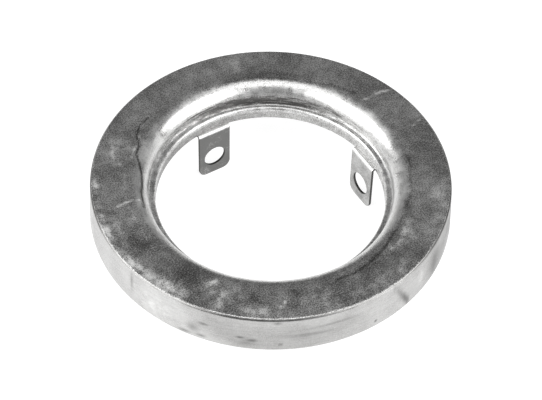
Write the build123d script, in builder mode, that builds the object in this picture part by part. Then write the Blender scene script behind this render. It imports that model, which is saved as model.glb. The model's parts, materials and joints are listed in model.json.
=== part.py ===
"""Pressed sheet-steel toilet flange with four welded fixing tabs.

The flange ring is one round pressing of even thickness: a flat face, a shallow skirt outside,
and a throat that rolls down from the face to a narrow ledge and ends in a short turned-down
collar around the opening. Four bent straps stand under the collar and point down. Each one is
held by a weld bead behind the collar and has a round screw hole near its end.

Z points up, the four straps lie on the X and Y axes, and the origin is the middle of the ring
at the level of the strap ends, which is what the flange stands on.
"""
import os
from math import cos, radians, sin

from build123d import *

# Driving dimensions, in millimetres and degrees.
SHEET = 1.3  # thickness of the ring and of the straps
HEIGHT = 48.0  # from the strap ends to the face
RIM_RADIUS = 90.0  # outside of the skirt at its lower rim
FACE_RADIUS = 88.8  # outside of the skirt at the face, so that it flares a little
SKIRT_DEPTH = 20.8  # from the face to the skirt's rim
CORNER_RADIUS = 1.7  # outer corner between face and skirt

THROAT_RADIUS = 60.7  # steep wall of the throat
ROLL_RADIUS = 8.8  # rounding from the face down into the throat
LEDGE_DEPTH = 11.0  # from the face to the ledge
LEDGE_FILLET = 1.8  # hollow corner between throat and ledge
OPENING_RADIUS = 57.1  # inside of the collar
COLLAR_BEND = 1.6  # rounding from the ledge down into the collar
COLLAR_DEPTH = 17.8  # from the face to the collar's lower edge

TAB_FACE_RADIUS = 54.8  # inner face of each strap, just inside a 110 mm pipe's outside
TAB_WIDTH = 18.2
TAB_BEND = 1.8  # outside of the strap's bend
TAB_LEG_END_RADIUS = 65.5  # how far the strap's leg reaches out below the ring
TAB_CORNER = 4.4  # rounding of the two free corners
TAB_HOLE_RADIUS = 6.0
TAB_HOLE_HEIGHT = 11.6  # from the strap's end to the middle of its hole
TAB_ANGLES = {"right_tab": 0, "rear_tab": 90, "left_tab": 180, "front_tab": 270}

WELD_LEG = 2.4  # width and height of a weld bead
WELD_BULGE = 0.35  # how far a bead stands proud of a flat weld
WELD_ANGLE = 14.0  # how far round the collar a bead runs

# Heights above the strap ends.
rim_z = HEIGHT - SKIRT_DEPTH
ledge_z = HEIGHT - LEDGE_DEPTH
collar_z = HEIGHT - COLLAR_DEPTH


def radial_plane(angle):
    """The upright plane through the Z axis whose X direction points out at the angle."""
    outward = Vector(cos(radians(angle)), sin(radians(angle)), 0)
    return Plane(origin=(0, 0, 0), x_dir=outward, z_dir=outward.cross(Vector(0, 0, 1)))


def hole_plane(angle):
    """A plane on a strap's outer face, at its hole, with its Z direction pointing out."""
    outward = Vector(cos(radians(angle)), sin(radians(angle)), 0)
    centre = outward * (TAB_FACE_RADIUS + SHEET) + Vector(0, 0, TAB_HOLE_HEIGHT)
    return Plane(origin=centre, x_dir=(0, 0, 1), z_dir=outward)


os.makedirs("parts", exist_ok=True)

# The ring: the visible side of the sheet and the hidden side, a sheet's thickness in, spun.
visible_side = [
    (RIM_RADIUS, rim_z),
    (FACE_RADIUS, HEIGHT),
    (THROAT_RADIUS, HEIGHT),
    (THROAT_RADIUS, ledge_z),
    (OPENING_RADIUS, ledge_z),
    (OPENING_RADIUS, collar_z),
]
hidden_side = [
    (RIM_RADIUS - SHEET, rim_z),
    (FACE_RADIUS - SHEET, HEIGHT - SHEET),
    (THROAT_RADIUS + SHEET, HEIGHT - SHEET),
    (THROAT_RADIUS + SHEET, ledge_z - SHEET),
    (OPENING_RADIUS + SHEET, ledge_z - SHEET),
    (OPENING_RADIUS + SHEET, collar_z),
]
visible_bends = [CORNER_RADIUS, ROLL_RADIUS, LEDGE_FILLET, COLLAR_BEND]
hidden_bends = [CORNER_RADIUS - SHEET, ROLL_RADIUS - SHEET, LEDGE_FILLET + SHEET, COLLAR_BEND - SHEET]
with BuildPart() as flange_ring:
    with BuildSketch(Plane.XZ):
        with BuildLine():
            FilletPolyline(*visible_side, radius=visible_bends)
            FilletPolyline(*hidden_side, radius=hidden_bends)
            Line(visible_side[0], hidden_side[0])
            Line(visible_side[-1], hidden_side[-1])
        make_face()
    revolve(axis=Axis.Z)
flange_ring.part.label = "flange_ring"
export_step(flange_ring.part, "parts/flange_ring.step")

# The straps: an L drawn on edge, extruded to its width, then rounded and holed.
for tab_name, angle in TAB_ANGLES.items():
    with BuildPart() as tab:
        with BuildSketch(radial_plane(angle)):
            with BuildLine():
                outside = FilletPolyline(
                    (TAB_LEG_END_RADIUS, collar_z),
                    (TAB_FACE_RADIUS, collar_z),
                    (TAB_FACE_RADIUS, 0),
                    radius=TAB_BEND,
                )
                offset(outside, amount=SHEET, side=Side.LEFT)
            make_face()
        extrude(amount=TAB_WIDTH / 2, both=True)
        through_edges = tab.edges().filter_by(Axis((0, 0, 0), radial_plane(angle).x_dir))
        fillet(through_edges.group_by(Axis.Z)[0], radius=TAB_CORNER)
        with Locations(hole_plane(angle)):
            Hole(radius=TAB_HOLE_RADIUS)
    tab.part.label = tab_name
    export_step(tab.part, f"parts/{tab_name}.step")

# The welds: a bead in the corner between the collar's hidden side and each strap's leg.
weld_root_radius = OPENING_RADIUS + SHEET
crown = WELD_LEG / 2 + WELD_BULGE
with BuildPart() as tab_welds:
    for angle in TAB_ANGLES.values():
        with BuildSketch(radial_plane(angle - WELD_ANGLE / 2)):
            with BuildLine():
                upper = (weld_root_radius, collar_z + WELD_LEG)
                outer = (weld_root_radius + WELD_LEG, collar_z)
                middle = (weld_root_radius + crown, collar_z + crown)
                Polyline(outer, (weld_root_radius, collar_z), upper)
                ThreePointArc(upper, middle, outer)
            make_face()
        revolve(axis=Axis.Z, revolution_arc=WELD_ANGLE)
tab_welds.part.label = "tab_welds"
export_step(tab_welds.part, "parts/tab_welds.step")
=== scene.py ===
"""Finished surfaces for a pressed, zinc-plated toilet flange, built around its CAD frame.

The ring, its four straps and their weld beads are surfaces worked out from a few sizes and from
the frame, and each gets the finish of the real metal. Everything is in metres unless its name or
comment says otherwise, Z points up, and the straps lie on the X and Y axes.
"""
import json
from math import atan2, ceil, cos, pi, radians, sin

import bpy
import numpy as np
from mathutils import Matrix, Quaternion, Vector


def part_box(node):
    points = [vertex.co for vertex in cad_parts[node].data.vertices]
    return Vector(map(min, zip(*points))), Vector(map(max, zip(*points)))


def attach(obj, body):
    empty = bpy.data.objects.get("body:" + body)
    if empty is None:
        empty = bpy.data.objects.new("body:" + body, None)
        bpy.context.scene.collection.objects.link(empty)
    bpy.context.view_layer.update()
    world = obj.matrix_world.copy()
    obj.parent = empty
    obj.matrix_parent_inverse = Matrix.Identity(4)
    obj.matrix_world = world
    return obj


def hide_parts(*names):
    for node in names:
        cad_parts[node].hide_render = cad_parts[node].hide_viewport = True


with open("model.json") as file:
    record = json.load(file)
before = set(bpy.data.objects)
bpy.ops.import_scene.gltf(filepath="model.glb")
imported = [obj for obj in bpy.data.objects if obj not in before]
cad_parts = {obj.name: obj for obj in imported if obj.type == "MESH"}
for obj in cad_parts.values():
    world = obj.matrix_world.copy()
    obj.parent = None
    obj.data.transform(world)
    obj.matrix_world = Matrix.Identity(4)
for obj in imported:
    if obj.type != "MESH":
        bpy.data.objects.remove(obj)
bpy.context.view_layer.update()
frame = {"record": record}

bl_info = {
    "name": "Toilet Flange Finish",
    "version": (1, 0, 0),
    "blender": (4, 5, 0),
    "location": "3D View > Sidebar > Flange",
    "description": "Builds the finished ring, straps and welds of a toilet flange on its CAD frame",
    "category": "Mesh",
}

MM = 0.001
RING_LOW, RING_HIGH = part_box("flange_ring")
STRAP_LOW, STRAP_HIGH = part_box("right_tab")
MOUNTS = {mount["name"]: mount for mount in frame["record"]["mounts"]}
OPENING, HOLE = MOUNTS["opening"], MOUNTS["right_tab_hole"]
OPENING_RADIUS = OPENING["dims"]["r_mm"] * MM
COLLAR_Z = OPENING["pos_m"][2] - OPENING["dims"]["length_mm"] * MM / 2  # the collar's lower edge
STRAPS = {"right_tab": 0, "rear_tab": 90, "left_tab": 180, "front_tab": 270}  # degrees round Z
# Painted shade on each strap's zinc: a darker strap stands for the shadowed floor that it reflects.
STRAP_SHADE = {"right_tab": 0.1, "rear_tab": 0.8, "left_tab": 0.5, "front_tab": 0.3}  # of the zinc

# Softboxes: degrees round from the camera, degrees above the horizon, width and height in metres,
# and watts.
SOFTBOXES = {
    "overhead_softbox": (0, 82, (1.0, 0.8), 2.8),
    "left_softbox": (-72, 31, (1.5, 1.3), 15.0),
    "right_softbox": (66, 31, (1.2, 1.3), 12.0),
}
SOFTBOX_DISTANCE = 1.1
AIR_GREY = 0.26  # how bright the air round the studio is
TABLE_GLOW = 0.82  # how brightly the light table shines
TABLE_HALF = 1.6  # half the light table's side

# Creases left by the press. Each is a line of (angle round the ring in degrees, radius in mm)
# points seen from above, then its half width in mm, how dark it is, and its depth in mm. The
# darkness is painted shade along the crease, and the depth is a real shallow dent.
CREASES = [
    ([(116, 73.4), (122, 74.0), (127, 72.2), (131, 69.0), (137, 68.0), (141, 65.6)], 0.42, 0.95, 0.12),
    ([(141, 65.6), (146, 63.8), (152, 63.3), (158, 64.2), (166, 64.5)], 0.50, 1.0, 0.12),
    ([(264, 71.2), (272, 71.7), (279, 71.0), (289, 69.9), (297, 68.6)], 0.70, 0.75, 0.10),
    ([(297, 68.6), (308, 69.3), (322, 69.2), (340, 70.0)], 0.60, 0.45, 0.05),
    ([(22, 72.2), (32, 70.8), (39, 69.0), (57, 68.8), (67, 69.3), (78, 68.8)], 1.10, 0.40, 0.04),
]
# Scratches from handling: the same kind of line, its half width in mm, and how bright it is.
SCRATCHES = [
    ([(13.0, 86.2), (15.0, 82.0), (15.8, 78.0), (16.5, 72.6)], 0.95, 0.90),
    ([(356.4, 85.0), (355.4, 82.0), (354.9, 80.0)], 0.42, 1.20),
    ([(163.8, 77.0), (162.4, 70.4), (161.9, 65.5)], 0.50, 1.25),
    ([(153.0, 77.0), (151.0, 72.0)], 0.45, 0.35),
    ([(241.9, 80.6), (243.2, 78.0)], 1.00, 0.90),
    ([(240.5, 84.6), (242.0, 80.6)], 0.90, 0.40),
    ([(134, 82.4), (139, 79.5), (143, 75.5), (145, 72.6)], 1.00, 0.35),
    ([(127, 70.9), (133, 70.2), (139, 69.9)], 0.60, 0.55),
    ([(289, 73.2), (296, 73.2), (302, 72.0)], 1.40, 0.45),
    ([(213, 74.8), (217, 70.9)], 1.50, 0.35),
    ([(136, 73.6), (160, 73.2), (190, 73.8)], 0.50, 0.20),
]
# Clouds in the face's zinc, and one thin arc of painted shade: angle in degrees, radius in mm,
# half lengths round and across in mm, and tone, from -1 soiled to 1 rubbed bright; in the arc the
# dark tone is painted shade.
CLOUDS_AND_SHADE = [
    (152, 86.0, 9.0, 1.6, 0.7), (172, 86.2, 14.0, 1.8, 0.8), (190, 85.4, 12.0, 2.2, 0.8),
    (203, 83.5, 9.0, 4.0, 0.7), (175, 80.5, 12.0, 2.5, 0.3), (221, 80.0, 7.0, 7.0, 0.5),
    (217, 73.5, 4.0, 4.0, 0.25), (234, 84.0, 8.0, 3.0, 0.45), (256, 79.0, 6.0, 6.0, 0.25),
    (272, 83.0, 14.0, 4.0, 0.3), (287, 84.0, 8.0, 4.0, 0.25), (70, 79.0, 5.0, 6.0, 0.2),
    (133, 77.0, 5.0, 7.0, 0.2), (303, 74.0, 16.0, 4.0, 0.2), (320, 84.5, 20.0, 3.0, 0.2),
    (182, 75.5, 11.0, 6.5, -0.4), (206, 74.5, 8.0, 7.5, -0.5), (212, 80.5, 5.0, 3.0, -0.35),
    (233, 74.5, 8.0, 6.0, -0.4), (247, 76.0, 4.0, 6.5, -0.45), (264, 77.0, 4.0, 5.0, -0.2),
    (280, 73.6, 7.0, 1.8, -0.4), (345, 77.0, 16.0, 8.0, -0.1), (30, 79.0, 15.0, 7.0, -0.1),
    # A thin dark arc on the face by the roll's edge: painted shade, not a cloud.
    (57, 71.5, 20.0, 1.6, -0.35),
]
# Stains on the skirt, and one wide patch of painted shade: angle in degrees, height in mm, half
# lengths round and up in mm, and tone.
SKIRT_STAINS_AND_SHADE = [
    (279.2, 45.8, 0.8, 2.4, -0.2), (280.6, 42.0, 0.8, 2.8, -0.25), (282.0, 38.0, 0.8, 3.0, -0.35),
    (283.5, 34.0, 0.9, 3.0, -0.45), (285.0, 30.0, 1.0, 3.0, -0.5), (211.5, 28.8, 3.0, 0.8, -0.4),
    (217.7, 38.2, 2.4, 0.6, -0.5), (217.0, 29.5, 2.2, 0.7, -0.45), (214.5, 33.5, 3.0, 2.5, -0.3),
    (229.2, 34.7, 1.8, 0.6, -0.5), (232.9, 33.3, 2.2, 0.7, -0.45), (231.0, 31.0, 5.0, 3.0, -0.25),
    (240.4, 46.0, 1.6, 0.6, -0.5), (241.4, 30.9, 0.6, 0.6, -0.7), (271.9, 30.6, 0.7, 0.7, -0.8),
    (191.0, 40.0, 0.9, 5.0, -0.35), (258.0, 41.0, 9.0, 0.7, -0.25), (250.0, 36.5, 12.0, 0.8, -0.2),
    (200.0, 35.0, 11.0, 8.0, 0.35), (292.0, 38.0, 4.0, 8.0, 0.4), (300.0, 36.0, 5.0, 9.0, -0.35),
    # The wide dark patch at 325 degrees is painted shade on that side of the skirt, not a stain.
    (248.0, 36.0, 26.0, 12.0, -0.2), (225.0, 38.0, 12.0, 9.0, -0.15), (325.0, 36.0, 40.0, 14.0, -0.7),
    (160.0, 38.0, 16.0, 12.0, -0.2), (281.3, 40.0, 0.8, 2.4, -0.25), (282.8, 36.0, 0.8, 2.4, -0.35),
    (284.2, 32.0, 0.9, 2.4, -0.4),
]


# Sizes and colours -----------------------------------------------------------------------------


def length_property(label, description, default):
    return bpy.props.FloatProperty(
        name=label, description=description, default=default, min=0.0, unit="LENGTH", precision=5
    )


def share_property(label, description, default):
    return bpy.props.FloatProperty(name=label, description=description, default=default, min=0.0)


def angle_property(label, description, degrees):
    return bpy.props.FloatProperty(
        name=label, description=description, default=radians(degrees), subtype="ANGLE"
    )


def colour_property(label, description, default):
    return bpy.props.StringProperty(name=label, description=description, default=default, maxlen=7)


class FlangeRingSizes(bpy.types.PropertyGroup):
    """Sizes of the pressed ring that its box and its mounts don't give."""

    sheet: length_property("Sheet", "Thickness of the pressed sheet", 1.3 * MM)
    flare: length_property("Flare", "How much wider the skirt is at its rim than at the face", 1.2 * MM)
    corner: length_property("Corner", "Outer corner between the face and the skirt", 1.7 * MM)
    throat: length_property("Throat", "Radius of the throat's steep wall", 60.7 * MM)
    roll: length_property("Roll", "Rounding from the face down into the throat", 8.8 * MM)
    ledge: length_property("Ledge", "Depth of the ledge below the face", 11.0 * MM)
    hollow: length_property("Hollow", "Hollow corner between the throat and the ledge", 1.8 * MM)
    collar_bend: length_property("Collar bend", "Rounding from the ledge into the collar", 1.6 * MM)
    shear: length_property("Sheared edge", "Rounding of the ring's cut edges", 0.22 * MM)
    waviness: length_property("Waviness", "How far the pressing is out of true", 0.10 * MM)
    around: bpy.props.IntProperty(
        name="Around", description="Faces round the ring", default=560, min=24, max=640
    )


class FlangeStrapSizes(bpy.types.PropertyGroup):
    """Sizes of the bent straps that their boxes and holes don't give."""

    sheet: length_property("Strip", "Thickness of the strap", 1.3 * MM)
    bend: length_property("Bend", "Outside radius of the strap's bend", 1.8 * MM)
    corner: length_property("Corner", "Rounding of the strap's free corners", 4.4 * MM)
    shear: length_property("Sheared edge", "Rounding of the strap's cut edges", 0.16 * MM)


class FlangeWeldSizes(bpy.types.PropertyGroup):
    """Sizes of the weld beads behind the collar."""

    leg: length_property("Leg", "Width and height of a bead", 2.3 * MM)
    fullness: share_property("Fullness", "Distance from the root to the bead's sides", 0.74)
    crown: share_property("Crown", "How much further out the bead's middle is", 0.1)
    swell: share_property("Swell", "How much a bead's width changes along it", 0.06)
    ripple: length_property("Ripple", "Height of the ripples along a bead", 0.12 * MM)
    ripples: bpy.props.IntProperty(name="Ripples", description="Ripples along a bead", default=13, min=1)
    angle: angle_property("Angle", "How far round the collar a bead runs", 13.6)


class FlangeWear(bpy.types.PropertyGroup):
    """How strongly the press, its dirt and the painted shade show on the ring, mostly as shares from 0 to
    1.
    """

    # Called the hard side: the side of the throat across the opening from the camera. Its low wall faces
    # the camera and is darkened there with painted shade.
    far_side: angle_property("Hard side", "Side of the throat that the press drew hardest", 68)
    dull_side: angle_property("Dull side", "Side where the collar is dullest", 120)
    throat_score: share_property("Throat's scores", "Scoring all over the throat", 0.15)
    wall_score: share_property("Wall's scores", "More scoring low on the throat's wall", 0.15)
    # Dark scoring streaks on the far side's low wall: the streaks stand for scores, and most of their
    # darkness there is painted shade.
    far_score: share_property("Hard side's scores", "More again where the draw was hardest", 1.1)
    skirt_score: share_property("Skirt's scores", "Scoring of the skirt", 0.12)
    # Painted shade: darkening low on the throat's wall, in the hollow above the ledge, and much more of
    # it on the far side.
    wall_shade: share_property("Wall's soil", "Press soil low on the throat's wall", 0.08)
    far_shade: share_property("Hard side's soil", "More soil where the draw was hardest", 0.5)
    # Painted shade in a thin line just inside the outer corner, which narrows the corner's highlight.
    corner_shade: share_property("Corner's soil", "Soil in a thin line along the outer corner", 0.5)
    collar_soil: share_property("Collar's soil", "Soil on the collar's dull side", 0.4)
    # The easy side is the near side of the throat, the hard side the far side across the opening from the
    # camera.
    roll_burnish: share_property("Roll's burnish", "Burnish of the roll on the easy side", 0.9)
    far_burnish: share_property("Hard side's burnish", "Burnish of the roll on the hard side", 0.6)
    lip_burnish: share_property("Lip's burnish", "Burnish of the ledge and the collar", 0.1)
    lip_rub: share_property("Lip's rubbing", "Rubbing of the ledge and the collar", 0.25)
    throat_frost: share_property("Throat's frost", "Frosty grain left in the throat", 0.4)
    skirt_frost: share_property("Skirt's frost", "Frosty grain left on the skirt", 0.08)


class FlangeColours(bpy.types.PropertyGroup):
    """Colours of the metals and the studio floor."""

    zinc: colour_property("Zinc", "Bright drawn zinc", "#E2E2E1")
    dull_zinc: colour_property("Dull zinc", "Slightly oxidised zinc", "#8C8B8A")
    # The dark colour for press soil and for the painted shade in the creases, low in the throat and along
    # the corner; the weld's dark lumps use it too.
    soil: colour_property("Soil", "Press soil and oxide in the creases", "#4E4D4C")
    strip: colour_property("Strip", "Plated strip of the straps", "#DCDCDB")
    # The dark end of the straps' tone, for their random clouds and for each strap's painted shade.
    dull_and_shaded_strip: colour_property("Dull strip", "Strip whose plating has dulled", "#6E6E6D")
    cut: colour_property("Cut edge", "Sheared edge of the strip", "#454443")
    weld: colour_property("Weld", "Plated weld metal", "#A09E9B")
    floor: colour_property("Floor", "Light table's floor", "#A4A4A4")


class FlangeStudio(bpy.types.PropertyGroup):
    """Camera and lights."""

    azimuth: angle_property("Azimuth", "Camera's direction round the flange", -32.8)
    elevation: angle_property("Elevation", "Camera's height above the horizon", 48.155)
    roll: angle_property("Roll", "Camera's tilt to the side", 1.576)
    distance: length_property("Distance", "From the camera to the middle of the face", 0.888)
    drop: length_property("Drop", "How far below the middle of the face the camera aims", 11.5 * MM)
    aside: length_property("Aside", "How far to its right of the middle the camera aims", 0.275 * MM)
    lens: bpy.props.FloatProperty(
        name="Lens", description="Focal length on a 36 mm sensor, in mm", default=120.1, min=1.0
    )


# Small tools -----------------------------------------------------------------------------------


def linear(hex_colour):
    """An sRGB hex colour as linear red, green, blue and alpha."""
    parts = [int(hex_colour[i : i + 2], 16) / 255 for i in (1, 3, 5)]
    return [p / 12.92 if p <= 0.04045 else ((p + 0.055) / 1.055) ** 2.4 for p in parts] + [1.0]


def rounded_path(corners, bends, arc_step, line_step):
    """The closed polygon through the corners, each corner replaced by the arc of its bend radius
    that touches both sides, with points every arc_step radians and every line_step metres. Each
    step is one number, or a list with the step at each corner and along the line after it."""
    arc_steps = np.broadcast_to(arc_step, len(corners))
    line_steps = np.broadcast_to(line_step, len(corners))
    corners = np.array(corners, float)
    bends = np.array(bends, float)
    to_last = np.roll(corners, 1, axis=0) - corners
    to_next = np.roll(corners, -1, axis=0) - corners
    to_last /= np.linalg.norm(to_last, axis=1)[:, None]
    to_next /= np.linalg.norm(to_next, axis=1)[:, None]
    half = np.arccos(np.clip((to_last * to_next).sum(axis=1), -1, 1)) / 2
    inward = to_last + to_next
    inward /= np.linalg.norm(inward, axis=1)[:, None]
    centres = corners + inward * (bends / np.sin(half))[:, None]
    starts = corners + to_last * (bends / np.tan(half))[:, None]
    ends = corners + to_next * (bends / np.tan(half))[:, None]
    runs = []
    for i in range(len(corners)):
        first, last = starts[i] - centres[i], ends[i] - centres[i]
        sweep = atan2(first[0] * last[1] - first[1] * last[0], first @ last)
        turns = np.linspace(0, sweep, max(2, ceil(abs(sweep) / arc_steps[i]) + 1))
        angles = atan2(first[1], first[0]) + turns
        runs.append(centres[i] + bends[i] * np.stack([np.cos(angles), np.sin(angles)], axis=1))
        gap = starts[(i + 1) % len(corners)] - ends[i]
        share = np.linspace(0, 1, ceil(np.linalg.norm(gap) / line_steps[i]) + 1)[1:-1, None]
        runs.append(ends[i] + share * gap)
    return np.concatenate(runs)


def ramp(values, start, end):
    """0 before the start, 1 past the end, and a straight line between them."""
    return np.clip((values - start) / (end - start), 0, 1)


def facing(angle, side):
    """1 at the side, 0 opposite it, and a cosine wave between them."""
    return 0.5 + 0.5 * np.cos(angle - side)


def grid_faces(rows, columns, close_rows, close_columns):
    """Quads over a grid of vertices numbered row by row, closed round in either direction."""
    row, column = np.meshgrid(
        np.arange(rows if close_rows else rows - 1),
        np.arange(columns if close_columns else columns - 1),
        indexing="ij",
    )
    next_row, next_column = (row + 1) % rows, (column + 1) % columns
    quads = [row * columns + column, next_row * columns + column]
    quads += [next_row * columns + next_column, row * columns + next_column]
    return np.stack(quads, axis=-1).reshape(-1, 4)


def turned(points, angle):
    """Points turned about the Z axis."""
    c, s = np.cos(angle), np.sin(angle)
    x, y, z = points[..., 0], points[..., 1], points[..., 2]
    return np.stack([x * c - y * s, x * s + y * c, z], axis=-1)


def make_piece(name, vertices, faces, material, replaced, attributes):
    """Add a smooth mesh object at the origin, riding on the frame in place of its CAD node."""
    mesh = bpy.data.meshes.new(name)
    mesh.from_pydata(vertices, [], faces)
    mesh.polygons.foreach_set("use_smooth", np.ones(len(mesh.polygons), bool))
    for key, values in attributes.items():
        mesh.attributes.new(key, "FLOAT", "POINT").data.foreach_set("value", values.astype(np.float32))
    mesh.update()
    mesh.materials.append(material)
    piece = bpy.data.objects.new(name, mesh)
    bpy.context.scene.collection.objects.link(piece)
    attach(piece, "root")
    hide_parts(replaced)


def add_node(tree, kind, inputs=None, **properties):
    """One node of a kind, with its own properties. Each of its inputs is given a value, or the
    output of another node to link it to."""
    made = tree.nodes.new(kind)
    for name, value in properties.items():
        setattr(made, name, value)
    for name, value in (inputs or {}).items():
        if isinstance(value, bpy.types.NodeSocket):
            tree.links.new(value, made.inputs[name])
        else:
            made.inputs[name].default_value = value
    return made


def weighted_sum(tree, terms, total):
    """The formula total + value * factor + value * factor ..., over all the terms."""
    for value, factor in terms:
        step = add_node(tree, "ShaderNodeMath", {0: value, 1: factor, 2: total}, operation="MULTIPLY_ADD")
        total = step.outputs[0]
    return total


def noise_scale(size):
    """The scale of a noise whose patches are about as wide as the size in metres."""
    return 0.5 / size


def new_material(name):
    """An empty node material with a Principled metal shader and its output."""
    material = bpy.data.materials.new(name)
    material.use_nodes = True
    tree = material.node_tree
    tree.nodes.clear()
    shader = add_node(tree, "ShaderNodeBsdfPrincipled", {"Metallic": 1.0})
    add_node(tree, "ShaderNodeOutputMaterial", {"Surface": shader.outputs["BSDF"]})
    return material, tree, shader


# Metals ----------------------------------------------------------------------------------------


def drawn_zinc_plate(colours):
    """Zinc-plated sheet steel, deep drawn in a press.

    The plating is bright but cloudy, with a fine grain like frost. The draw has scored the throat
    and the skirt round the ring, and press soil sits in the scores. The soil colour also carries
    painted shade: in the creases, in a thin arc on the face, low on the throat's wall, along the
    outer corner, and in a wide patch on one side of the skirt. Rubbed high places are brighter. The
    real grain and scores are too fine to show, so both are drawn about a third of a millimetre wide."""
    material, tree, shader = new_material("zinc_plate_deep_drawn")
    place = add_node(tree, "ShaderNodeTexCoord").outputs["Object"]
    soil, rub, score, frost, burnish, run = (
        add_node(tree, "ShaderNodeAttribute", attribute_name=name).outputs["Fac"]
        for name in ("soil", "rub", "score", "frost", "burnish", "run")
    )
    flat = add_node(tree, "ShaderNodeVectorMath", {0: place, 1: (1, 1, 0)}, operation="MULTIPLY")
    outward = add_node(tree, "ShaderNodeVectorMath", {0: flat.outputs[0]}, operation="NORMALIZE")
    round_ring = add_node(
        tree, "ShaderNodeVectorMath", {0: outward.outputs[0], "Scale": 6 * MM}, operation="SCALE"
    )
    across = add_node(tree, "ShaderNodeCombineXYZ", {"Z": run})
    drawn = add_node(
        tree, "ShaderNodeVectorMath", {0: round_ring.outputs[0], 1: across.outputs[0]}, operation="ADD"
    )
    clouds, patches, grain, streaks = (
        add_node(
            tree, "ShaderNodeTexNoise",
            {"Vector": vector, "Scale": noise_scale(size), "Detail": detail, "Roughness": fineness},
        ).outputs["Fac"]
        for vector, size, detail, fineness in (
            (place, 9 * MM, 3.0, 0.55),
            (place, 2.2 * MM, 3.0, 0.6),
            (place, 0.32 * MM, 2.0, 0.8),
            (drawn.outputs[0], 0.38 * MM, 3.0, 0.65),
        )
    )
    ragged = add_node(
        tree, "ShaderNodeMapRange",
        {"Value": patches, "From Min": 0.38, "From Max": 0.6, "To Min": 0.35, "To Max": 1.25},
    )
    streaked = add_node(
        tree, "ShaderNodeMapRange", {"Value": streaks, "From Min": 0.46, "From Max": 0.62}
    )
    cloudy = weighted_sum(tree, [(clouds, 0.7), (patches, 0.8), (grain, 6.0)], -3.75)
    rub, scored, frosted = (
        add_node(tree, "ShaderNodeMath", {0: first, 1: second}, operation="MULTIPLY").outputs[0]
        for first, second in (
            (rub, ragged.outputs["Result"]),
            (streaked.outputs["Result"], score),
            (cloudy, frost),
        )
    )

    tone = weighted_sum(
        tree, [(frosted, 1.0), (clouds, 0.6), (rub, 0.8), (burnish, 0.8), (soil, -0.5)], 0.16
    )
    bright = add_node(
        tree, "ShaderNodeMix", {0: tone, 6: linear(colours.dull_zinc), 7: linear(colours.zinc)},
        data_type="RGBA",
    )
    # Soil and painted shade pull the plate towards the soil colour.
    dark = weighted_sum(tree, [(soil, 1.2), (scored, 0.9), (frosted, -0.35)], 0.0)
    covered = add_node(tree, "ShaderNodeMath", {0: dark, 1: 0.92}, operation="MINIMUM")
    plate = add_node(
        tree, "ShaderNodeMix", {0: covered.outputs[0], 6: bright.outputs[2], 7: linear(colours.soil)},
        data_type="RGBA",
    )
    tree.links.new(plate.outputs[2], shader.inputs["Base Color"])

    rough = weighted_sum(
        tree, [(clouds, 0.4), (patches, 0.3), (soil, 0.1), (rub, 0.34), (burnish, 0.1)], -0.08
    )
    finish = add_node(tree, "ShaderNodeClamp", {"Value": rough, "Min": 0.14, "Max": 0.7})
    tree.links.new(finish.outputs[0], shader.inputs["Roughness"])

    height = weighted_sum(tree, [(clouds, 0.45), (patches, 0.2), (grain, 0.07), (scored, -0.06)], 0.0)
    relief = add_node(tree, "ShaderNodeMath", {0: height, 1: frost}, operation="MULTIPLY")
    bump = add_node(
        tree, "ShaderNodeBump", {"Strength": 1.0, "Distance": 1.0 * MM, "Height": relief.outputs[0]}
    )
    tree.links.new(bump.outputs["Normal"], shader.inputs["Normal"])
    return material


def plated_strip(colours):
    """Zinc-plated mild-steel strip, rolled, sheared and bent.

    The faces are even and satin, but each strap is darkened by its own painted shade, and the
    bend and the leg carry a painted highlight. The sheared edges are darker and rougher. Its grain
    is drawn as coarse as the ring's, to show at all."""
    material, tree, shader = new_material("zinc_plated_strip_sheared")
    place = add_node(tree, "ShaderNodeTexCoord").outputs["Object"]
    cut, dull, bent = (
        add_node(tree, "ShaderNodeAttribute", attribute_name=name).outputs["Fac"]
        for name in ("cut", "dull", "bent")
    )
    clouds, grain = (
        add_node(
            tree, "ShaderNodeTexNoise",
            {"Vector": place, "Scale": noise_scale(size), "Detail": detail, "Roughness": fineness},
        ).outputs["Fac"]
        for size, detail, fineness in ((4 * MM, 3.0, 0.55), (0.35 * MM, 2.0, 0.7))
    )
    # Each strap's painted shade darkens its tone, and a painted highlight brightens the bend and the leg.
    tone = weighted_sum(tree, [(clouds, 1.25), (grain, 1.25), (dull, -0.63), (bent, 1.1)], -0.82)
    face = add_node(
        tree, "ShaderNodeMix", {0: tone, 6: linear(colours.dull_and_shaded_strip), 7: linear(colours.strip)},
        data_type="RGBA",
    )
    edge = weighted_sum(tree, [(cut, 1.0), (grain, 0.5)], -0.25)
    metal = add_node(
        tree, "ShaderNodeMix", {0: edge, 6: face.outputs[2], 7: linear(colours.cut)}, data_type="RGBA"
    )
    tree.links.new(metal.outputs[2], shader.inputs["Base Color"])
    rough = weighted_sum(tree, [(clouds, 0.12), (grain, 0.1), (cut, 0.15), (bent, 0.1)], 0.22)
    tree.links.new(rough, shader.inputs["Roughness"])
    height = weighted_sum(tree, [(clouds, 1.0), (grain, 0.2)], 0.0)
    bump = add_node(tree, "ShaderNodeBump", {"Strength": 1.0, "Distance": 0.04 * MM, "Height": height})
    tree.links.new(bump.outputs["Normal"], shader.inputs["Normal"])
    return material


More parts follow.
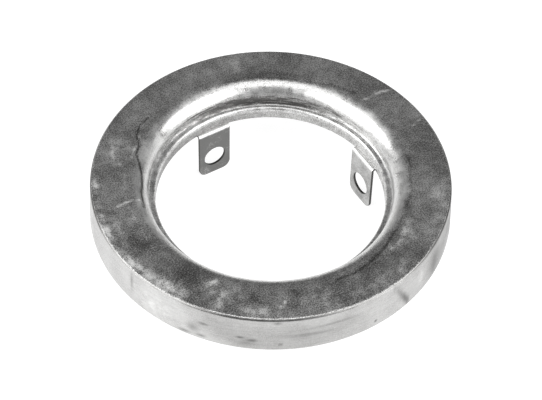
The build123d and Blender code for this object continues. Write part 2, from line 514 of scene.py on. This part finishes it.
def weld_metal(colours):
    """Arc-welded bead, plated over: lumpy, dull and a little soiled."""
    material, tree, shader = new_material("weld_metal_plated_over")
    place = add_node(tree, "ShaderNodeTexCoord").outputs["Object"]
    lumps, grain = (
        add_node(
            tree, "ShaderNodeTexNoise",
            {"Vector": place, "Scale": noise_scale(size), "Detail": detail, "Roughness": fineness},
        ).outputs["Fac"]
        for size, detail, fineness in ((1.2 * MM, 3.0, 0.6), (0.4 * MM, 2.0, 0.7))
    )
    tone = weighted_sum(tree, [(lumps, 1.4), (grain, 0.8)], -0.6)
    metal = add_node(
        tree, "ShaderNodeMix", {0: tone, 6: linear(colours.soil), 7: linear(colours.weld)},
        data_type="RGBA",
    )
    tree.links.new(metal.outputs[2], shader.inputs["Base Color"])
    rough = weighted_sum(tree, [(lumps, 0.25), (grain, 0.1)], 0.28)
    tree.links.new(rough, shader.inputs["Roughness"])
    bump = add_node(tree, "ShaderNodeBump", {"Strength": 1.0, "Distance": 0.08 * MM, "Height": lumps})
    tree.links.new(bump.outputs["Normal"], shader.inputs["Normal"])
    return material


def light_table(colours):
    """Opal acrylic sheet, lit from below: it stays white and shows no hard shadow."""
    material, tree, shader = new_material("opal_acrylic_light_table")
    shader.inputs["Metallic"].default_value = 0.0
    shader.inputs["Roughness"].default_value = 0.6
    shader.inputs["Base Color"].default_value = linear(colours.floor)
    shader.inputs["Emission Color"].default_value = (1.0, 1.0, 1.0, 1.0)
    shader.inputs["Emission Strength"].default_value = TABLE_GLOW
    return material


# Surfaces --------------------------------------------------------------------------------------


def ring_section(sizes):
    """The sheet's closed outline in radius and height: up the skirt, in over the face, down the
    throat to the collar's edge, and back on the hidden side a sheet's thickness away."""
    rim_radius, rim_z, face_z = RING_HIGH.x, RING_LOW.z, RING_HIGH.z
    ledge_z = face_z - sizes.ledge
    visible = np.array([
        (rim_radius, rim_z),
        (rim_radius - sizes.flare, face_z),
        (sizes.throat, face_z),
        (sizes.throat, ledge_z),
        (OPENING_RADIUS, ledge_z),
        (OPENING_RADIUS, COLLAR_Z),
    ])
    t = sizes.sheet
    hidden = visible + np.array([(-t, 0), (-t, -t), (t, -t), (t, -t), (t, -t), (t, 0)])
    bends = np.array([sizes.corner, sizes.roll, sizes.hollow, sizes.collar_bend])
    hidden_bends = bends + np.array([-t, -t, t, -t])
    edge = [sizes.shear]
    corners = np.concatenate([visible, hidden[::-1]])
    all_bends = np.concatenate([edge, bends, edge, edge, hidden_bends[::-1], edge])
    fine, coarse, coarsest = radians(6.5), radians(15), radians(30)
    arc_steps = np.where(all_bends == sizes.shear, coarsest, coarse)
    arc_steps[1 : 1 + len(bends)] = fine
    line_steps = [0.8 * MM] * len(visible) + [3.0 * MM] * len(hidden)
    return rounded_path(corners, all_bends, arc_steps, line_steps)


def out_of_true(points, angle, sizes):
    """How far the press leaves the sheet from its true shape: a few slow waves round the ring,
    which lower the face and pull the skirt in, both growing towards the rim."""
    rng = np.random.default_rng(7)
    face = np.zeros_like(angle)
    skirt = np.zeros_like(angle)
    for waves in (2, 3, 5, 7, 11):
        face += np.cos(waves * angle + rng.uniform(0, 2 * pi)) / waves
        skirt += np.cos(waves * angle + rng.uniform(0, 2 * pi)) / waves
    radius, height = points[..., 0], points[..., 2]
    outward = ramp(radius, sizes.throat, RING_HIGH.x) ** 2
    down = ramp(height, RING_HIGH.z, RING_LOW.z) * outward
    lower = -sizes.waviness * outward * (1 + face) / 3
    inward = -sizes.waviness * down * (1 + skirt) / 2
    return np.stack([inward, np.zeros_like(lower), lower], axis=-1)


def nearness(x, y, line, half_width):
    """How near points are to a line of (degrees, mm) stops: 1 on it, falling off as a bell with
    the distance from it over the half width in mm."""
    stops = np.array([(r * MM * cos(radians(a)), r * MM * sin(radians(a))) for a, r in line])
    closest = np.full(x.shape, np.inf)
    for start, end in zip(stops[:-1], stops[1:]):
        along = end - start
        share = ((x - start[0]) * along[0] + (y - start[1]) * along[1]) / (along @ along)
        share = np.clip(share, 0, 1)
        away = np.hypot(x - start[0] - share * along[0], y - start[1] - share * along[1])
        closest = np.minimum(closest, away)
    return np.exp(-((closest / (half_width * MM)) ** 2))


def bell(angle, across, mark):
    """A soft spot: a bell in the arc length round the ring and in the distance across it."""
    degrees, middle, half_round, half_across, _ = mark
    turn = (angle - radians(degrees) + pi) % (2 * pi) - pi
    arc = turn * RING_HIGH.x / MM
    return np.exp(-((arc / half_round) ** 2) - ((across / MM - middle) / half_across) ** 2)


def ring_marks(angle, radius, height, upper, skirt):
    """Soil and painted shade, rubbed places and crease depth at each point, from the tables of marks."""
    x, y = radius * np.cos(angle), radius * np.sin(angle)
    soil, rub, deep = np.zeros_like(x), np.zeros_like(x), np.zeros_like(x)
    for line, half_width, strength, depth in CREASES:
        near = nearness(x, y, line, half_width) * upper
        # Painted shade along the crease, put in with the soil.
        soil = np.maximum(soil, near * strength)
        deep = np.maximum(deep, near * depth * MM)
    for line, half_width, strength in SCRATCHES:
        rub = np.maximum(rub, nearness(x, y, line, half_width) * upper * strength)
    for marks, across, where in ((CLOUDS_AND_SHADE, radius, upper), (SKIRT_STAINS_AND_SHADE, height, skirt)):
        for mark in marks:
            tone = bell(angle, across, mark) * where * mark[-1]
            rub, soil = rub + np.maximum(tone, 0), soil + np.maximum(-tone, 0)
    return np.clip(soil, 0, 1), np.clip(rub, 0, 1), deep


def ring_finish(angle, radius, height, visible, sizes, wear):
    """What the material reads at each point, and the depth of the creases.

    The wall low in the throat is scored and darkened with painted shade, most of all on the far
    side, across the opening from the camera, where the burnish also starts higher up the roll. The
    lip, which is the ledge and the collar, is satin, and one side of the collar is dull. A thin line
    of painted shade lies along the outer corner. The frosty grain is nearly gone wherever the sheet
    was drawn."""
    skirt = visible * (radius > RING_HIGH.x - sizes.flare - sizes.corner / 2)
    upper = visible * (1 - skirt)
    soil, rub, deep = ring_marks(angle, radius, height, upper, skirt)
    depth = RING_HIGH.z - height
    up_roll = (radius - sizes.throat) / sizes.roll  # 0 at the throat's wall, 1 at the face
    near_start, far_start, full = 0.62, 1.15, 0.594
    in_throat = upper * ramp(up_roll, far_start, full)
    lip = in_throat * ramp(radius, sizes.throat - 0.6 * MM, sizes.throat - 1.2 * MM)
    low_wall = in_throat * ramp(depth, 5.2 * MM, 7.0 * MM) * (1 - lip)
    dull_collar = lip * ramp(depth, 12 * MM, 14 * MM) * facing(angle, wear.dull_side)
    # A thin band just inside the outer corner, darkened below with painted shade.
    corner = visible * np.exp(-(((radius - RING_HIGH.x + 1.6 * MM) / (0.25 * MM)) ** 2))

    # 1 on the far side, across the opening from the camera, and 0 on the near side.
    far_facing = facing(angle, wear.far_side)  # 1 on the hard side, 0 on the easy side
    far_peak = np.clip(np.cos(angle - wear.far_side), 0, 1) ** 3
    # The scores are drawn streaks; the soil added low on the wall is painted shade, strongest on the far
    # side.
    score = wear.throat_score * in_throat + wear.skirt_score * skirt
    score += low_wall * (wear.wall_score + wear.far_score * far_peak)
    soil += low_wall * (wear.wall_shade + wear.far_shade * far_peak)
    soil += wear.corner_shade * corner + wear.collar_soil * dull_collar
    rub += wear.lip_rub * lip

    start = near_start + (far_start - near_start) * far_facing
    near_slope, far_slope = 5.0, 1.8
    slope = near_slope + (far_slope - near_slope) * far_facing
    strength = wear.roll_burnish + (wear.far_burnish - wear.roll_burnish) * far_facing
    burnish = strength * upper * np.clip((start - up_roll) * slope, 0, 1)
    burnish = burnish * (1 - low_wall * far_peak) * (1 - lip) + wear.lip_burnish * lip
    frost = 1 - (1 - wear.skirt_frost) * skirt - (1 - wear.throat_frost) * in_throat
    shown = {
        "soil": np.clip(soil, 0, 1),
        "rub": np.clip(rub, 0, 1),
        "score": score,
        "frost": frost,
        "burnish": burnish,
    }
    return shown, deep


def ring_surface(sizes, wear):
    """The section spun round the Z axis: radius times cosine, radius times sine, height. Slow
    waves and creases move it, and the marks that the material reads are kept at each point."""
    section = ring_section(sizes)
    steps = np.linalg.norm(np.diff(section, axis=0), axis=1)
    run = np.concatenate([[0], np.cumsum(steps)])
    angle, run = np.meshgrid(np.linspace(0, 2 * pi, sizes.around, endpoint=False), run, indexing="ij")
    flat = np.zeros(angle.shape + (3,))
    flat[..., 0], flat[..., 2] = section[:, 0], section[:, 1]

    inner_height = np.where(section[:, 0] < sizes.throat, section[:, 1], np.inf)
    collar_edge = np.argmin(inner_height)
    visible = np.broadcast_to(np.arange(len(section)) < collar_edge, run.shape)
    marks, deep = ring_finish(angle, flat[..., 0], flat[..., 2], visible, sizes, wear)
    marks["run"] = run
    points = turned(flat + out_of_true(flat, angle, sizes), angle)
    points[..., 2] -= deep
    faces = grid_faces(*angle.shape, True, True)
    return points.reshape(-1, 3), faces, {key: value.ravel() for key, value in marks.items()}


class FLANGE_OT_ring(bpy.types.Operator):
    """Build the pressed ring over its CAD node"""

    bl_idname = "flange.ring"
    bl_label = "Pressed Ring"

    def execute(self, context):
        scene = context.scene
        points, faces, marks = ring_surface(scene.flange_ring, scene.flange_wear)
        finish = drawn_zinc_plate(scene.flange_colours)
        make_piece("pressed_ring", points, faces, finish, "flange_ring", marks)
        return {"FINISHED"}


def strap_sheet(sizes, straight, length):
    """The strap laid flat: its points, its quads, and the loops of its outline and its hole.

    Straight lines run from the hole's rim to the outline, as far up as the joint line over the
    hole. From there a plain grid carries on, round the bend to the end of the leg. All edges are
    drawn in by the rounding of the cut edge, which is added later."""
    middle = np.array([0, HOLE["pos_m"][2]])
    width = STRAP_HIGH.y - STRAP_LOW.y
    half, low, top = width / 2 - sizes.shear, sizes.shear, length - sizes.shear
    corner = sizes.corner - sizes.shear
    joint = middle[1] + width / 2
    columns = np.linspace(-half, half, 25)  # across the grid
    lower = rounded_path(
        [(half, joint), (-half, joint), (-half, low), (half, low)], [0, 0, corner, corner],
        radians(7.5), 1.0 * MM,
    )
    hair = 0.0001 * MM
    side = lower[lower[:, 1] < joint - hair]  # the joint's own points are left out
    outline = np.concatenate([side, np.stack([columns[::-1], np.full_like(columns, joint)], axis=1)])
    ray = outline - middle
    rim_radius = HOLE["dims"]["r_mm"] * MM + sizes.shear
    rim = middle + ray / np.linalg.norm(ray, axis=1)[:, None] * rim_radius
    fan = rim + np.linspace(0, 1, 9)[:, None, None] * (outline - rim)

    bend_end = straight + sizes.bend * pi / 2
    above = np.concatenate([
        np.linspace(joint, straight, 7)[1:],
        np.linspace(straight, bend_end, 13)[1:],
        np.linspace(bend_end, top, 9)[1:],
    ])
    grid = np.stack(np.meshgrid(columns[::-1], above, indexing="xy"), axis=-1)
    points = np.concatenate([fan.reshape(-1, 2), grid.reshape(-1, 2)])

    rows, around = fan.shape[:2]
    high, wide = grid.shape[:2]
    outline_ids = (rows - 1) * around + np.arange(around)
    grid_ids = rows * around + np.arange(high * wide).reshape(high, wide)
    stack = np.concatenate([outline_ids[None, -wide:], grid_ids])
    grid_quads = stack.ravel()[grid_faces(high + 1, wide, False, False)]
    faces = np.concatenate([grid_faces(rows, around, False, True), grid_quads])
    loop = np.concatenate([outline_ids[:-wide], stack[:, 0], stack[-1, 1:-1], stack[::-1, -1]])
    return points, faces, (loop, np.arange(around)[::-1])


def strap_fold(across, along, depth, face_radius, leg_z, bend):
    """Where a point of the flat strap goes when it is bent: up the face, round a quarter circle of
    the bend radius less its depth in the sheet, then out along the leg."""
    straight = leg_z - bend
    turn = np.clip((along - straight) / bend, 0, pi / 2)
    reach = bend - depth
    out = np.maximum(along - straight - bend * pi / 2, 0)
    x = face_radius + bend - reach * np.cos(turn) + out
    z = np.minimum(along, straight) + reach * np.sin(turn)
    return np.stack([x, across, z], axis=-1)


def strap_surface(sizes, angle):
    """The flat strap folded into its L and given its thickness: a visible side, a hidden side, and
    between them a rounded strip along the outline and round the hole. With the points and the
    faces comes 1 for each point on a cut edge and 0 for the others."""
    face_radius, leg_end, leg_z = STRAP_LOW.x, STRAP_HIGH.x, STRAP_HIGH.z
    straight = leg_z - sizes.bend
    length = straight + sizes.bend * pi / 2 + leg_end - face_radius - sizes.bend
    sheet, sheet_faces, loops = strap_sheet(sizes, straight, length)
    vertices = [
        strap_fold(sheet[:, 0], sheet[:, 1], depth, face_radius, leg_z, sizes.bend)
        for depth in (0.0, sizes.sheet)
    ]
    faces = [sheet_faces, sheet_faces[:, ::-1] + len(sheet)]
    cut = [np.zeros(2 * len(sheet))]

    turn = np.linspace(0, pi / 2, 4)[1:]
    out, deep = sizes.shear * np.sin(turn), sizes.shear * (1 - np.cos(turn))
    out = np.concatenate([out, out[::-1]])
    deep = np.concatenate([deep, sizes.sheet - deep[::-1]])
    for ids in loops:
        loop = sheet[ids]
        tangent = np.roll(loop, -1, axis=0) - np.roll(loop, 1, axis=0)
        normal = np.stack([tangent[:, 1], -tangent[:, 0]], axis=1)
        normal /= np.linalg.norm(normal, axis=1)[:, None]
        edge = loop[None] + out[:, None, None] * normal[None]
        depth = np.broadcast_to(deep[:, None], edge.shape[:2])
        folded = strap_fold(edge[..., 0], edge[..., 1], depth, face_radius, leg_z, sizes.bend)
        new_ids = sum(len(part) for part in vertices) + np.arange(depth.size).reshape(depth.shape)
        strip = np.concatenate([ids[None], new_ids, ids[None] + len(sheet)])
        faces.append(strip.ravel()[grid_faces(*strip.shape, False, True)])
        vertices.append(folded.reshape(-1, 3))
        cut.append(np.ones(depth.size))
    points = turned(np.concatenate(vertices), angle)
    return points, np.concatenate(faces), np.concatenate(cut)


class FLANGE_OT_straps(bpy.types.Operator):
    """Build the four bent straps over their CAD nodes"""

    bl_idname = "flange.straps"
    bl_label = "Fixing Straps"

    def execute(self, context):
        scene = context.scene
        finish = plated_strip(scene.flange_colours)
        bend_z = STRAP_HIGH.z - scene.flange_strap.bend
        for node, degrees in STRAPS.items():
            points, faces, cut = strap_surface(scene.flange_strap, radians(degrees))
            # A painted highlight over the bend and the leg above it.
            bent = ramp(points[:, 2], bend_z, bend_z + scene.flange_strap.bend / 2)
            # Each strap gets its own painted shade.
            marks = {"cut": cut, "dull": np.full_like(cut, STRAP_SHADE[node]), "bent": bent}
            make_piece(node.replace("tab", "strap"), points, faces, finish, node, marks)
        return {"FINISHED"}


def weld_surface(sizes, sheet, middle):
    """One bead: a quarter-round section in the corner between collar and leg, carried round the
    collar, swelling with the ripples of the weld pool and closing to a point at both ends."""
    root_radius = OPENING_RADIUS + sheet
    along = np.linspace(-1, 1, 97)
    taper = (1 - along**8) ** 0.5
    ripples = np.abs(np.sin(along * sizes.ripples * pi / 2 + 0.6 * along**2))
    swell = 1 - sizes.swell * np.cos(5.1 * along)
    size = taper * (sizes.leg * swell - sizes.ripple * ripples)
    turn = np.linspace(0, pi / 2, 11)
    reach = sizes.fullness + sizes.crown * np.sin(2 * turn)
    outline = np.stack([np.cos(turn) * reach, np.sin(turn) * reach], axis=1)
    outline[0], outline[-1] = (1, 0), (0, 1)
    outline = np.concatenate([outline, [(0, 0)]])
    section = size[1:-1, None, None] * outline[None]
    flat = np.zeros(section.shape[:2] + (3,))
    flat[..., 0], flat[..., 2] = root_radius + section[..., 0], COLLAR_Z + section[..., 1]
    rows, columns = flat.shape[:2]
    angle = (middle + along[1:-1] * sizes.angle / 2)[:, None]
    body = turned(flat, np.broadcast_to(angle, flat.shape[:2])).reshape(-1, 3)
    ends = middle + np.array([-0.5, 0.5]) * sizes.angle
    tips = turned(np.array([(root_radius, 0, COLLAR_Z)] * 2), ends)

    first = np.arange(columns)
    last = (rows - 1) * columns + first
    near = np.stack([np.full(columns, rows * columns), first, np.roll(first, -1)], axis=1)
    far = np.stack([np.full(columns, rows * columns + 1), np.roll(last, -1), last], axis=1)
    faces = grid_faces(rows, columns, False, True)
    return np.concatenate([body, tips]), faces, np.concatenate([near, far])


class FLANGE_OT_welds(bpy.types.Operator):
    """Build the weld beads over their CAD node"""

    bl_idname = "flange.welds"
    bl_label = "Weld Beads"

    def execute(self, context):
        scene = context.scene
        vertices, faces, start = [], [], 0
        for degrees in STRAPS.values():
            points, quads, tips = weld_surface(
                scene.flange_weld, scene.flange_ring.sheet, radians(degrees)
            )
            vertices.append(points)
            faces += (quads + start).tolist() + (tips + start).tolist()
            start += len(points)
        finish = weld_metal(scene.flange_colours)
        make_piece("weld_beads", np.concatenate(vertices), faces, finish, "tab_welds", {})
        return {"FINISHED"}


# Studio ----------------------------------------------------------------------------------------


def heading(azimuth, elevation):
    """The unit direction from the flange to a place, azimuth 0 being -Y and elevation upwards."""
    return Vector((sin(azimuth) * cos(elevation), -cos(azimuth) * cos(elevation), sin(elevation)))


def softbox(name, direction, size, watts, target):
    """An oval area light in a direction from the target, facing it."""
    light = bpy.data.lights.new(name, "AREA")
    light.shape = "ELLIPSE"
    light.size, light.size_y = size
    light.energy = watts
    lamp = bpy.data.objects.new(name, light)
    lamp.location = target + direction * SOFTBOX_DISTANCE
    lamp.rotation_euler = direction.to_track_quat("Z", "Y").to_euler()
    bpy.context.scene.collection.objects.link(lamp)


def aimed_camera(studio, middle):
    """A camera in the studio's direction from the middle of the face, aimed just off it."""
    back = heading(studio.azimuth, studio.elevation)
    right = Vector((cos(studio.azimuth), sin(studio.azimuth), 0))
    up = back.cross(right)
    camera = bpy.data.cameras.new("camera")
    camera.lens = studio.lens
    camera.sensor_width = 36.0
    holder = bpy.data.objects.new("camera", camera)
    holder.location = middle + back * studio.distance
    aim = middle - up * studio.drop + right * studio.aside
    look = (aim - holder.location).to_track_quat("-Z", "Y")
    holder.rotation_euler = (look @ Quaternion((0, 0, 1), studio.roll)).to_euler()
    return holder


class FLANGE_OT_stage(bpy.types.Operator):
    """Set the camera, the lights and the floor"""

    bl_idname = "flange.stage"
    bl_label = "Studio"

    def execute(self, context):
        scene = context.scene
        studio = scene.flange_studio
        scene.camera = aimed_camera(studio, Vector((0, 0, RING_HIGH.z)))
        scene.collection.objects.link(scene.camera)
        target = Vector((0, 0, RING_HIGH.z / 2))
        for name, (turn, height, size, watts) in SOFTBOXES.items():
            direction = heading(studio.azimuth + radians(turn), radians(height))
            softbox(name, direction, size, watts, target)
        world = bpy.data.worlds.new("studio_air")
        world.use_nodes = True
        air = world.node_tree.nodes["Background"]
        air.inputs["Color"].default_value = (AIR_GREY, AIR_GREY, AIR_GREY, 1.0)
        air.inputs["Strength"].default_value = 1.0
        scene.world = world
        scene.view_settings.view_transform = "Standard"

        corners = [(x * TABLE_HALF, y * TABLE_HALF, 0) for x, y in ((-1, -1), (1, -1), (1, 1), (-1, 1))]
        mesh = bpy.data.meshes.new("floor")
        mesh.from_pydata(corners, [], [(0, 1, 2, 3)])
        mesh.materials.append(light_table(scene.flange_colours))
        floor = bpy.data.objects.new("floor", mesh)
        scene.collection.objects.link(floor)
        return {"FINISHED"}


class FLANGE_PT_panel(bpy.types.Panel):
    """The flange's build steps, in order"""

    bl_label = "Toilet Flange"
    bl_idname = "FLANGE_PT_panel"
    bl_space_type = "VIEW_3D"
    bl_region_type = "UI"
    bl_category = "Flange"

    def draw(self, context):
        column = self.layout.column()
        for operator in OPERATORS:
            column.operator(operator.bl_idname)


GROUPS = {
    "flange_ring": FlangeRingSizes,
    "flange_strap": FlangeStrapSizes,
    "flange_weld": FlangeWeldSizes,
    "flange_wear": FlangeWear,
    "flange_colours": FlangeColours,
    "flange_studio": FlangeStudio,
}
OPERATORS = (FLANGE_OT_stage, FLANGE_OT_ring, FLANGE_OT_straps, FLANGE_OT_welds)
CLASSES = (*GROUPS.values(), *OPERATORS, FLANGE_PT_panel)


def register():
    for cls in CLASSES:
        bpy.utils.register_class(cls)
    for name, group in GROUPS.items():
        setattr(bpy.types.Scene, name, bpy.props.PointerProperty(type=group))


def unregister():
    for name in GROUPS:
        delattr(bpy.types.Scene, name)
    for cls in reversed(CLASSES):
        bpy.utils.unregister_class(cls)


def main():
    register()
    bpy.ops.flange.stage()
    bpy.ops.flange.ring()
    bpy.ops.flange.straps()
    bpy.ops.flange.welds()


if __name__ == "__main__":
    main()
